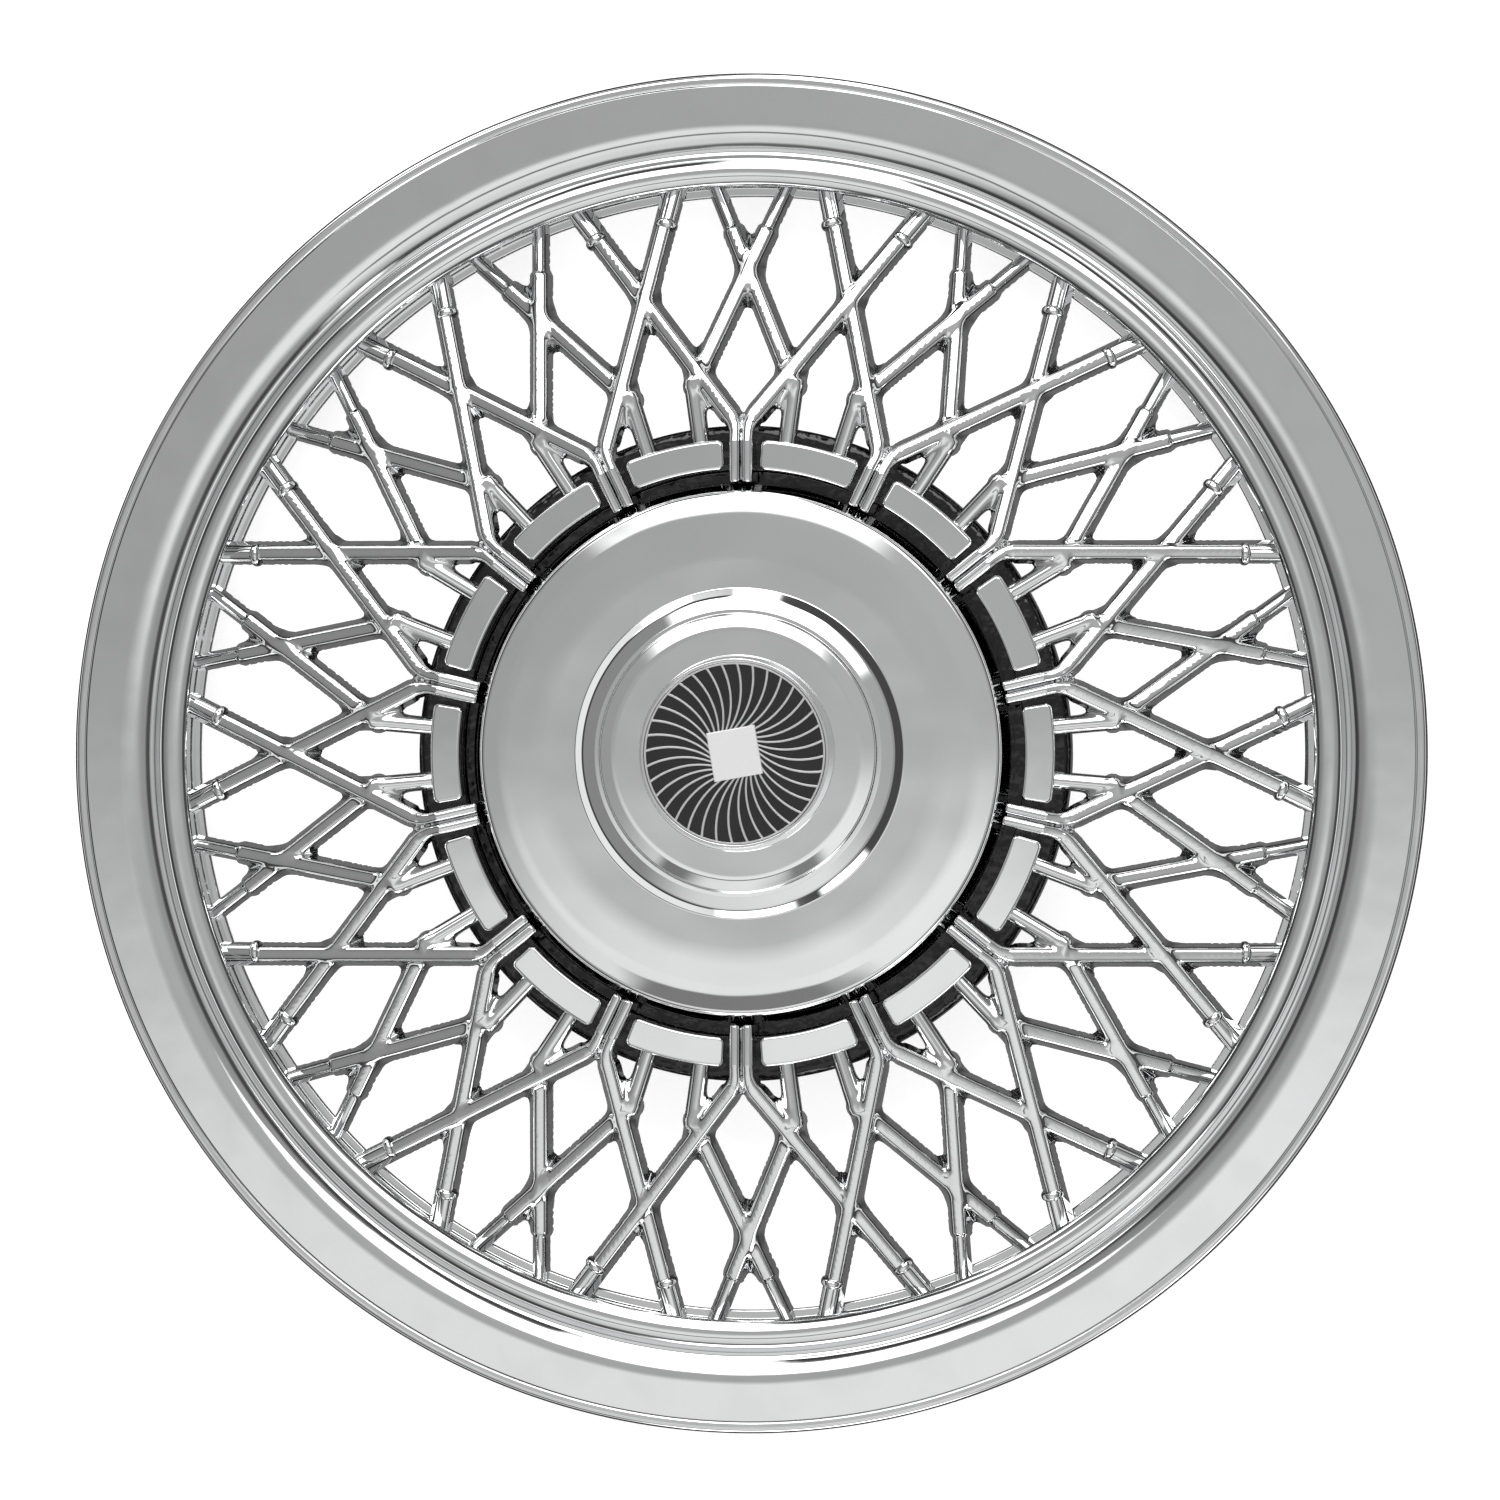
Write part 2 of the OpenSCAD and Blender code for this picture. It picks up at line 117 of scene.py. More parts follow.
def rounded(corners, step=9.0):
    """Closed outline of (r, z, fillet) corners, as points with their outward normals.

    The step is in degrees along a fillet of 1 mm or more.
    """
    points, normals = [], []
    flat = np.array([(c[0], c[1]) for c in corners], float)
    if sum(a[0] * b[1] - b[0] * a[1] for a, b in zip(flat, np.roll(flat, -1, axis=0))) < 0:
        corners, flat = corners[::-1], flat[::-1]
    for i, corner in enumerate(corners):
        here = flat[i]
        into = here - flat[i - 1]
        away = flat[(i + 1) % len(flat)] - here
        into, away = into / np.linalg.norm(into), away / np.linalg.norm(away)
        first, last = np.array([into[1], -into[0]]), np.array([away[1], -away[0]])
        turn = math.atan2(into[0] * away[1] - into[1] * away[0], into @ away)
        fillet = corner[2] if len(corner) > 2 else 0
        if fillet <= 0 or abs(turn) < 1e-6:
            points += [here, here]
            normals += [first, last]
            continue
        reach = fillet * math.tan(abs(turn) / 2)
        centre = here - into * reach + (-first if turn > 0 else first) * fillet
        fineness = step if fillet >= 1 else max(step, COARSE_STEP)
        count = max(2, math.ceil(abs(math.degrees(turn)) / fineness))
        for k in range(count + 1):
            a = turn * k / count
            c, s = math.cos(a), math.sin(a)
            normal = np.array([c * first[0] - s * first[1], s * first[0] + c * first[1]])
            points.append(centre + (normal if turn > 0 else -normal) * fillet)
            normals.append(normal)
    return np.array(points), np.array(normals)


def grid_quads(rows, columns, closed=True):
    """Quads between neighbouring rows of points, each row a loop; closed joins the last to the first."""
    i, j = np.arange(rows if closed else rows - 1)[:, None], np.arange(columns)[None, :]
    here, after, along = i * columns, (i + 1) % rows * columns, (j + 1) % columns
    return np.stack([here + j, after + j, after + along, here + along], -1).reshape(-1, 4)


def revolve(outline, segments, arc=None):
    """Solid of revolution of a closed outline, whole or over an arc (start, end) in degrees."""
    profile, slope = outline
    whole = arc is None
    start, end = (0, 360) if whole else arc
    angles = np.radians(np.linspace(start, end, segments + (0 if whole else 1), endpoint=not whole))
    c, s = np.cos(angles)[:, None], np.sin(angles)[:, None]
    points = np.stack([c * profile[:, 0], s * profile[:, 0], np.ones_like(c) * profile[:, 1]], -1)
    normals = np.stack([c * slope[:, 0], s * slope[:, 0], np.ones_like(c) * slope[:, 1]], -1)
    quads = grid_quads(len(angles), len(profile), whole)
    return points.reshape(-1, 3), quads, np.zeros((0, 3), int), normals.reshape(-1, 3)


def lathe_between(a, b, profile, segments=28):
    """Turned piece on the line from a to b; its profile lists (distance from a, radius, fillet)."""
    a, b = np.array(a, float), np.array(b, float)
    axis = (b - a) / np.linalg.norm(b - a)
    across = np.cross(axis, [0, 0, 1.0])
    across /= np.linalg.norm(across)
    up = np.cross(axis, across)
    outline = rounded([(radius, along, fillet) for along, radius, fillet in profile], 22.5)
    points, quads, triangles, normals = revolve(outline, segments)
    axes = np.stack([across, up, axis])
    return a + points @ axes, quads, triangles, normals @ axes


# Sizes shared by the pieces, in millimetres

def measures(context):
    """The cover's sizes in millimetres, with what follows from them."""
    sizes = context.scene.cover_sizes
    m = SimpleNamespace(sector=360 / sizes.forks, forks=sizes.forks)
    m.edge_r = sizes.cover_diameter / 2 / MM
    m.edge_z = sizes.edge_height / MM
    m.spoke_r = sizes.spoke_radius / MM
    m.wall = 2.4
    m.hoop_z, m.hoop_back = 20.0, 17.0
    m.leg_width, m.wire_z, m.wire_ring = 18.0, 5.2, m.edge_r - 26.6
    m.band_out, m.band_in = m.edge_r - 3.6, m.edge_r - 21.2
    m.bead_c, m.bead_r = m.edge_r - 29.4, 4.2
    m.bead_z = m.edge_z - 1.8
    m.wall_r = m.bead_c - m.bead_r
    m.land_r = m.wall_r + 1.2
    m.hub_r, m.hub_z = 97.2, m.edge_z + 13
    m.pad_in, m.pad_out, m.pad_z = 84.2, 93.1, m.hub_z + 6.5
    m.pad_arc = m.sector - math.degrees(10.9 / 88.65)
    m.shelf_in, m.shelf_z = 70.0, m.hub_z - 6
    m.rib_x, m.fork_r, m.turn_r = 1.9, 98.0, 9.0
    m.rib_in, m.rib_top_r, m.rib_draft, m.rib_depth = 80.35, 1.6, 4.0, 8.5
    m.front_rise, m.front_drop = 22.5, 4.2
    m.front_top = m.edge_z + m.front_rise
    m.weave, m.depth, m.draft = 1.2, 3.8, 18.0
    front_land = math.radians(18.2)
    m.front_land = np.array([m.land_r * math.sin(front_land), m.land_r * math.cos(front_land)])
    m.front_turn = math.atan2(m.front_land[0] - m.rib_x, m.front_land[1] - m.fork_r)
    m.tangent = m.turn_r * math.tan(m.front_turn / 2)
    m.knee_y = m.fork_r - m.tangent - 2
    m.front_slope = (m.front_rise + m.front_drop) / (m.front_land[1] - m.knee_y)
    m.rear_top, m.rear_end, m.rear_land = m.edge_z + 15, m.edge_z - 7, math.radians(3.8)
    m.stub_a, m.stub_r, m.stub_in, m.stub_turn = math.radians(7.9), 2.75, 91.5, 112.5
    m.stub_z = m.rear_top - m.stub_r + 0.4
    m.front_cosine, m.rear_cosine = 0.957, 0.949
    m.face_z = m.edge_z + 26
    m.boss_z = m.face_z + 5.5
    m.button_z = m.boss_z + 7
    m.seat_z = m.button_z - 2.2
    return m


# Spoke lattice

def front_height(m, y, lift):
    """Height of a front spoke's path at y, in its fork's frame."""
    run = np.maximum(y - m.knee_y, 0)
    return m.front_top - m.spoke_r - run * m.front_slope + lift * run / (m.front_land[1] - m.knee_y)


def front_path(m, hand, lift):
    """Rows of x, y, z, top radius, draft and depth along one front spoke."""
    rows = []
    bend_y, steps = m.fork_r - m.tangent, 8
    for y in (78.0, m.knee_y - 1, m.knee_y, bend_y):
        rows.append([m.rib_x, y, m.rib_top_r, m.rib_draft, m.rib_depth])
    for k in range(1, steps + 1):
        a, share = m.front_turn * k / steps, k / steps
        rows.append([
            m.rib_x + m.turn_r * (1 - math.cos(a)),
            bend_y + m.turn_r * math.sin(a),
            m.rib_top_r + (m.spoke_r - m.rib_top_r) * share,
            m.rib_draft + (m.draft - m.rib_draft) * share,
            m.rib_depth + (m.depth - m.rib_depth) * min(1, share * 1.6),
        ])
    end = m.front_land * (m.land_r + 2) / m.land_r
    rows.append([end[0], end[1], m.spoke_r, m.draft, m.depth])
    rows = np.array(rows)
    heights = front_height(m, rows[:, 1], lift)
    rows[:, 0] *= hand
    return np.column_stack([rows[:, :2], heights, rows[:, 2:]])


def rear_path(m, hand, lift):
    """Rows of x, y, z, top radius, draft and depth along one rear spoke, slimmer at its outer end."""
    corner_r = m.stub_turn - m.stub_r
    a = np.array([
        corner_r * math.sin(m.stub_a), corner_r * math.cos(m.stub_a), m.rear_top - m.spoke_r,
    ])
    b = np.array([
        -m.land_r * math.sin(m.rear_land), m.land_r * math.cos(m.rear_land), m.rear_end - m.spoke_r + lift,
    ])
    length = np.linalg.norm(b - a)
    slim, slim_from, slim_to = 0.5, length - 15.5, length - 14.6
    rows = []
    for s, shrink in ((0, 0), (slim_from, 0), (slim_to, slim), (length + 2, slim)):
        point = a + (b - a) * s / length
        rows.append([hand * point[0], point[1], point[2], m.spoke_r - shrink, m.draft, m.depth - shrink])
    return np.array(rows)


def smooth_min(a, b, k):
    """Union of two distance fields with a fillet of about k."""
    h = np.maximum(k - np.abs(a - b), 0) / k
    return np.minimum(a, b) - h * h * k / 4


def path_field(m, points, path, cosine):
    """Distance of the points to a spoke: crowned top, drafted flanks and a flat back.

    The cosine is that of the spoke's slope.
    """
    best = np.full(len(points), np.inf)
    found = np.zeros((4, len(points)))
    for a, b in zip(path[:-1], path[1:]):
        run = b[:2] - a[:2]
        t = np.clip(((points[:, :2] - a[:2]) @ run) / (run @ run), 0, 1)
        away = points[:, :2] - a[:2] - t[:, None] * run
        gap = (away * away).sum(1)
        near = gap < best
        best = np.where(near, gap, best)
        for row in range(4):
            value = a[row + 2] + t * (b[row + 2] - a[row + 2])
            found[row] = np.where(near, value, found[row])
    d = np.sqrt(best)
    height = (points[:, 2] - found[0]) * cosine
    draft = np.radians(found[2])
    c, s = np.cos(draft), np.sin(draft)
    flank = d * c + height * s - found[1] * (1 + (found[2] - m.rib_draft) / 45)
    side = -smooth_min(found[1] - height, -flank, 1.4)
    return -smooth_min(-side, height + found[3], 0.6)


def stub_field(m, points, hand):
    """Distance of the points to a rear spoke's stub, a round peg with a rounded end."""
    out = np.array([hand * math.sin(m.stub_a), math.cos(m.stub_a)])
    s = points[:, :2] @ out
    across = points[:, 0] * out[1] - points[:, 1] * out[0]
    radial = np.hypot(across, points[:, 2] - m.stub_z) - m.stub_r
    ends = np.maximum(s - m.stub_turn, m.stub_in - s)
    return -smooth_min(-radial, -ends, 1.2)


def lattice_field(m, points):
    """Distance of points in one fork's frame to the lattice, with fillets that grow with the depth."""
    total = None
    radius = np.hypot(points[:, 0], points[:, 1])
    under = np.clip(front_height(m, radius * 0.97, 0) + m.spoke_r - points[:, 2], 0, 6)
    fillet = 0.9 + 0.33 * under
    pair = np.interp(radius, [96.5, 103], [0.5, 2.0])
    for k in (-1, 0, 1):
        local = points @ turn_about(k * m.sector).T
        right = path_field(m, local, front_path(m, 1, m.weave), m.front_cosine)
        left = path_field(m, local, front_path(m, -1, 0), m.front_cosine)
        part = smooth_min(right, left, pair)
        for hand, lift in ((1, 0), (-1, m.weave)):
            rear = path_field(m, local, rear_path(m, hand, lift), m.rear_cosine)
            rear = smooth_min(rear, stub_field(m, local, hand), 1.0)
            part = smooth_min(part, rear, fillet)
        total = part if total is None else smooth_min(total, part, fillet)
    total = np.maximum(total, radius - m.land_r - 0.3)
    return -smooth_min(-total, radius - m.rib_in, 0.8)


def cone_height(r):
    """Middle height of the lattice at a radius."""
    return np.interp(r, [78, 97, 112, 170], [47.5, 46.2, 42.6, 22.4])


def surface_nets(field):
    """Points in grid steps and quads of a field's surface.

    The middle index repeats, and each corner of a quad has its shift to the sector before.
    """
    ni, nj, nk = field.shape
    around = np.concatenate([field, field[:, :1]], 1)
    corners = {
        (a, b, c): around[a:ni - 1 + a, b:nj + b, c:nk - 1 + c]
        for a in (0, 1) for b in (0, 1) for c in (0, 1)
    }
    stack = np.stack(list(corners.values()))
    mask = (stack < 0).any(0) & (stack >= 0).any(0)
    cells = np.argwhere(mask)
    number = np.full(mask.shape, -1)
    number[mask] = np.arange(len(cells))
    values = {key: grid[mask] for key, grid in corners.items()}
    total, hits = np.zeros((len(cells), 3)), np.zeros(len(cells))
    for key in corners:
        for axis in range(3):
            if key[axis]:
                continue
            other = tuple(1 if n == axis else key[n] for n in range(3))
            a, b = values[key], values[other]
            cut = (a < 0) != (b < 0)
            where = np.tile(np.array(key, float), (len(cells), 1))
            where[:, axis] = np.divide(a, a - b, out=np.zeros_like(a), where=cut)
            total[cut] += where[cut]
            hits += cut
    points = cells + total / hits[:, None]
    quads, shifts = [], []

    def add(cut, flip, around_cells):
        """Quads round the edges that the surface cuts, from the four cells about each."""
        i, j, k = np.nonzero(cut)
        ids, back = [], []
        for di, dj, dk in around_cells:
            jj = j + dj
            ids.append(number[i + di, jj % nj, k + dk])
            back.append(np.where(jj < 0, -1, 0))
        ids, back = np.stack(ids, 1), np.stack(back, 1)
        turn = flip[i, j, k]
        ids[turn], back[turn] = ids[turn][:, ::-1], back[turn][:, ::-1]
        quads.append(ids)
        shifts.append(back)

    solid = field < 0
    cut = np.zeros(field.shape, bool)
    cut[:-1, :, 1:-1] = solid[:-1, :, 1:-1] != solid[1:, :, 1:-1]
    add(cut, solid, [(0, -1, -1), (0, 0, -1), (0, 0, 0), (0, -1, 0)])
    cut = np.zeros(field.shape, bool)
    cut[1:-1, :, 1:-1] = (solid != np.roll(solid, -1, 1))[1:-1, :, 1:-1]
    add(cut, solid, [(-1, 0, -1), (-1, 0, 0), (0, 0, 0), (0, 0, -1)])
    cut = np.zeros(field.shape, bool)
    cut[1:-1, :, :-1] = solid[1:-1, :, :-1] != solid[1:-1, :, 1:]
    add(cut, solid, [(-1, -1, 0), (0, -1, 0), (0, 0, 0), (-1, 0, 0)])
    return points, np.vstack(quads), np.vstack(shifts)


def field_slope(m, points, step=0.02):
    """Gradient of the lattice's distance field at points."""
    out = np.zeros_like(points)
    for axis in range(3):
        move = np.zeros(3)
        move[axis] = step
        out[:, axis] = lattice_field(m, points + move) - lattice_field(m, points - move)
    return out / (2 * step)


def lattice_sector(m, radial=0.95, upright=0.75, turns=80):
    """Points of one fork's sector on the lattice's surface, with quads and their corners' shifts."""
    inner, reach = 79.4, 7.8
    r = np.arange(inner, m.land_r + 1, radial)
    theta = np.radians(m.sector) * (np.arange(turns) / turns - 0.5)
    w = np.arange(-reach, reach + 0.01, upright)
    rr, tt, ww = np.meshgrid(r, theta, w, indexing="ij")
    points = np.stack([rr * np.sin(tt), rr * np.cos(tt), cone_height(rr) + ww], -1).reshape(-1, 3)
    field = lattice_field(m, points).reshape(rr.shape)
    if (field[:, :, 0] < 0).any() or (field[:, :, -1] < 0).any():
        raise RuntimeError("The lattice leaves its grid, so its surface would be open")
    cells, quads, shifts = surface_nets(field)
    radius = r[0] + cells[:, 0] * radial
    angle = theta[0] + cells[:, 1] * np.radians(m.sector) / turns
    height = cone_height(radius) + w[0] + cells[:, 2] * upright
    points = np.stack([radius * np.sin(angle), radius * np.cos(angle), height], -1)
    for _ in range(2):
        slope = field_slope(m, points)
        size = np.maximum((slope * slope).sum(1), 0.25)
        move = (lattice_field(m, points) / size)[:, None] * slope
        points -= np.clip(move, -0.3, 0.3)
    return points, quads, shifts


def sector_local(m, points):
    """Points turned back into the frame of the fork that they are nearest to, with the turns made."""
    bearing = np.degrees(np.arctan2(points[:, 0], points[:, 1]))
    turn = np.round(bearing / m.sector) * m.sector
    a = np.radians(turn)
    x = points[:, 0] * np.cos(a) - points[:, 1] * np.sin(a)
    y = points[:, 0] * np.sin(a) + points[:, 1] * np.cos(a)
    return np.stack([x, y, points[:, 2]], 1), a


def lattice_normals(m, points):
    """Outward normals of the whole lattice at its points."""
    local, a = sector_local(m, points)
    slope = field_slope(m, local)
    slope /= np.maximum(np.linalg.norm(slope, axis=1), 1e-9)[:, None]
    x = slope[:, 0] * np.cos(a) + slope[:, 1] * np.sin(a)
    y = -slope[:, 0] * np.sin(a) + slope[:, 1] * np.cos(a)
    return np.stack([x, y, slope[:, 2]], 1)


def whole_lattice(m):
    """Points and quads of the lattice all round, closed across its sectors."""
    points, quads, shifts = lattice_sector(m)
    count = len(points)
    all_points, all_quads = [], []
    for s in range(m.forks):
        all_points.append(points @ turn_about(s * m.sector))
        all_quads.append(((s + shifts) % m.forks) * count + quads)
    points, quads = np.vstack(all_points), np.vstack(all_quads)
    a, b, c = (points[quads[:, n]] for n in (0, 1, 2))
    if (np.cross(b - a, c - a) * a).sum() < 0:
        quads = quads[:, ::-1]
    return points, quads


# Shader nodes

class Value:
    """A value socket that can stand in arithmetic, which adds Math nodes."""

    def __init__(self, nodes, socket):
        self.nodes = nodes
        self.socket = socket

    def math(self, operation, *inputs):
        """Math node on sockets and numbers."""
        return self.nodes.add("ShaderNodeMath", {"operation": operation}, list(inputs))["Value"]

    def __add__(self, other):
        return self.math("ADD", self, other)

    __radd__ = __add__

    def __sub__(self, other):
        return self.math("SUBTRACT", self, other)

    def __rsub__(self, other):
        return self.math("SUBTRACT", other, self)

    def __mul__(self, other):
        return self.math("MULTIPLY", self, other)

    __rmul__ = __mul__

    def __truediv__(self, other):
        return self.math("DIVIDE", self, other)

    def __pow__(self, other):
        return self.math("POWER", self, other)

    def step(self, low, high):
        """Smooth step from 0 at low to 1 at high."""
        return self.nodes.add(
            "ShaderNodeMapRange", {"interpolation_type": "SMOOTHSTEP"},
            {"Value": self, "From Min": low, "From Max": high},
        )["Result"]


class Nodes:
    """Adds nodes to one node tree."""

    def __init__(self, tree):
        self.tree = tree
        tree.nodes.clear()

    def add(self, kind, settings=None, inputs=()):
        """Adds a node with its settings, then the values or links of its sockets."""
        node = self.tree.nodes.new(kind)
        for name, value in (settings or {}).items():
            setattr(node, name, value)
        pairs = inputs.items() if isinstance(inputs, dict) else enumerate(inputs)
        for name, value in pairs:
            if isinstance(value, Value):
                self.tree.links.new(value.socket, node.inputs[name])
            else:
                node.inputs[name].default_value = value
        return Outputs(self, node)

    def mix(self, factor, low, high):
        """Colour between two colours."""
        return self.add("ShaderNodeMix", {"data_type": "RGBA"}, {0: factor, 6: low, 7: high}).at(2)

    def noise(self, where, scale, detail=2.0):
        """Noise over the piece, in cycles a metre."""
        inputs = {"Vector": where, "Scale": scale, "Detail": detail}
        return self.add("ShaderNodeTexNoise", {}, inputs)["Fac"]

    def bump(self, height, strength, distance):
        """Normal of a relief whose distance is in metres."""
        inputs = {"Height": height, "Strength": strength, "Distance": distance}
        return self.add("ShaderNodeBump", {}, inputs)["Normal"]

    def surface(self, inputs):
        """Principled surface as the material's output."""
        shader = self.add("ShaderNodeBsdfPrincipled", {}, inputs)
        self.add("ShaderNodeOutputMaterial", {}, {"Surface": shader["BSDF"]})


class Outputs:
    """The output sockets of a node."""

    def __init__(self, nodes, node):
        self.nodes = nodes
        self.node = node

    def __getitem__(self, name):
        return Value(self.nodes, self.node.outputs[name])

    def at(self, index):
        """Output by its place, for nodes that repeat a name."""
        return Value(self.nodes, self.node.outputs[index])


def grey(value):
    """A neutral colour."""
    return (value, value, value, 1.0)


def shade(colour, factor):
    """The colour made darker or lighter."""
    return tuple(c * factor for c in colour[:3]) + (1.0,)


def opaque(colour):
    """The colour of a property with its alpha."""
    return tuple(colour) + (1.0,)


def new_material(name):
    """An empty node material and its nodes."""
    material = bpy.data.materials.new(name)
    material.use_nodes = True
    return material, Nodes(material.node_tree)


def chrome(name, colour, roughness=0.045, ripple=0.06, ripple_scale=60.0, haze=0.03):
    """Bright plate with faint haze and the slight ripple of plated plastic."""
    material, nodes = new_material(name)
    where = nodes.add("ShaderNodeTexCoord")["Object"]
    broad, fine = nodes.noise(where, ripple_scale, 1.5), nodes.noise(where, 900.0)
    patches = broad.step(0.42, 0.68)
    nodes.surface({
        "Base Color": nodes.mix(patches * 0.5 + fine * 0.3, colour, shade(colour, 0.93)),
        "Metallic": 1.0,
        "Roughness": roughness + patches * haze + fine * 0.01,
        "Normal": nodes.bump(broad, ripple, 0.002),
    })
    return material


def enamel(name, colour):
    """Dark enamel with a fine orange peel under a thin clear gloss."""
    material, nodes = new_material(name)
    where = nodes.add("ShaderNodeTexCoord")["Object"]
    peel, cloud = nodes.noise(where, 1400.0), nodes.noise(where, 90.0)
    nodes.surface({
        "Base Color": nodes.mix(cloud.step(0.3, 0.7), colour, shade(colour, 1.6)),
        "Roughness": 0.22 + peel * 0.08,
        "Coat Weight": 0.2,
        "Coat Roughness": 0.06,
        "Normal": nodes.bump(peel, 0.06, 0.0005),
    })
    return material


def bright_line(name, colour):
    """Satin bright metal of the emblem's raised lines and plate."""
    material, nodes = new_material(name)
    where = nodes.add("ShaderNodeTexCoord")["Object"]
    grain = nodes.noise(where, 1600.0, 3.0)
    nodes.surface({
        "Base Color": nodes.mix(grain, colour, shade(colour, 0.9)),
        "Metallic": 0.35,
        "Roughness": 0.32 + grain * 0.1,
        "Normal": nodes.bump(grain, 0.1, 0.0002),
    })
    return material


def spring_steel(name, colour):
    """Zinc-plated wire with dull spots."""
    material, nodes = new_material(name)
    where = nodes.add("ShaderNodeTexCoord")["Object"]
    spots = nodes.noise(where, 220.0, 3.0)
    dull = spots.step(0.5, 0.7)
    nodes.surface({
        "Base Color": nodes.mix(dull, colour, shade(colour, 0.72)),
        "Metallic": 1.0,
        "Roughness": 0.3 + dull * 0.2,
        "Normal": nodes.bump(spots, 0.15, 0.0003),
    })
    return material


def finish_of(name, make, *args, **options):
    """The named material, made once."""
    return bpy.data.materials.get(name) or make(name, *args, **options)


def moulding_chrome(context):
    """Plate of the moulding."""
    return finish_of("plate_moulding", chrome, opaque(context.scene.cover_sizes.plate_colour))


def cap_chrome(context):
    """Plate of the centre cap, with a broader ripple."""
    colour = opaque(context.scene.cover_sizes.cap_colour)
    return finish_of("plate_cap", chrome, colour, 0.035, 0.3, 24.0, 0.02)


# The add-on

class CoverSizes(bpy.types.PropertyGroup):
    """Sizes and colours of the wheel cover."""

    cover_diameter: FloatProperty(
        name="Cover Diameter", description="Diameter over the rolled edge", default=0.404, unit="LENGTH")
    edge_height: FloatProperty(
        name="Edge Height", description="Height of the rolled edge's front above the feet", default=0.030,
        unit="LENGTH")
    forks: IntProperty(
        name="Forks", description="Number of forks round the hub", default=14, min=10, max=16)
    spoke_radius: FloatProperty(
        name="Spoke Radius", description="Half width of a spoke's crowned top", default=0.0018, unit="LENGTH")
    swirl_lines: IntProperty(
        name="Emblem Lines", description="Number of curved lines on the emblem", default=36, min=24, max=44)
    plate_colour: FloatVectorProperty(
        name="Moulding Plate", description="Tint of the plate on the moulding", subtype="COLOR", size=3,
        default=(0.80, 0.805, 0.81), min=0, max=1)
    cap_colour: FloatVectorProperty(
        name="Cap Plate", description="Tint of the plate on the centre cap", subtype="COLOR", size=3,
        default=(0.84, 0.845, 0.85), min=0, max=1)
    enamel_colour: FloatVectorProperty(
        name="Enamel", description="Colour of the emblem's dark field", subtype="COLOR", size=3,
        default=(0.006, 0.006, 0.0065), min=0, max=1)
    wire_colour: FloatVectorProperty(
        name="Wire", description="Colour of the spring wire", subtype="COLOR", size=3,
        default=(0.52, 0.53, 0.54), min=0, max=1)


class StageSizes(bpy.types.PropertyGroup):
    """Camera and light."""

    distance: FloatProperty(
        name="Camera Distance", description="From the camera to the aimed point", default=6.0, unit="LENGTH")
    tilt: FloatProperty(
        name="Camera Tilt", description="Lean of the view towards +X", default=math.radians(6.25),
        unit="ROTATION")
    lens: FloatProperty(name="Lens", description="Focal length in millimetres", default=485.0)
    softbox_power: FloatProperty(
        name="Softboxes", description="Brightness of the studio's softboxes", default=3.0, min=0)
    studio_grey: FloatProperty(
        name="Studio Grey", description="Brightness of the studio's walls", default=0.42, min=0)


class PieceOperator(bpy.types.Operator):
    """Base of the operators that build pieces."""

    bl_options = {"REGISTER", "UNDO"}

    def settle(self, piece, slot_name, node):
        """Makes the piece ride with the cover in place of its solid."""
        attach(piece, BODY)
        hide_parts(node)


class COVER_OT_ring(PieceOperator):
    """Builds the outer ring: rolled edge, convex band, channel, bead, barrel wall and hoop"""

    bl_idname = "cover.ring"
    bl_label = "Outer Ring"

    def execute(self, context):
        m = measures(context)
        e = m.edge_z
        outline = rounded([
            (m.edge_r - 0.6, e - 3.4, 0.4), (m.edge_r, e - 2.7, 0.7), (m.edge_r, e, 1.8),
            (m.edge_r - 2.9, e, 0.5), (m.edge_r - 3.2, e - 0.25, 0.2), (m.band_out - 0.1, e + 0.05, 0.3),
            (m.edge_r - 18.0, e + 2.0, 11.0), (m.edge_r - 23.4, m.bead_z, 1.6),
            (m.bead_c + 0.1, e + 4.7, 5.6), (m.wall_r, e, 0.3), (m.wall_r, m.hoop_z, 0.5),
            (m.wall_r - 2.9, m.hoop_z, 0.6), (m.wall_r - 2.9, m.hoop_back, 0.6),
            (m.wall_r + m.wall, m.hoop_back, 0.6), (m.wall_r + m.wall, e - 0.2, 1.6),
            (m.bead_c + 1.9, e - 0.2, 1.6), (m.bead_c + 1.9, m.bead_z - m.wall, 0.6),
            (m.band_in + 1.0, m.bead_z - m.wall, 0.4), (m.band_in + 2.0, e - 1.6, 0.5),
            (m.band_out - 8.8, e - 0.9, 42.0), (m.band_out - 1.2, e - 2.2, 0.4),
            (m.edge_r - 2.2, e - 3.4, 0.3),
        ], 5.0)
        piece = make_piece("outer_ring", *revolve(outline, 420), material=moulding_chrome(context))
        self.settle(piece, "plated_moulding", "cover_moulding")
        return {"FINISHED"}


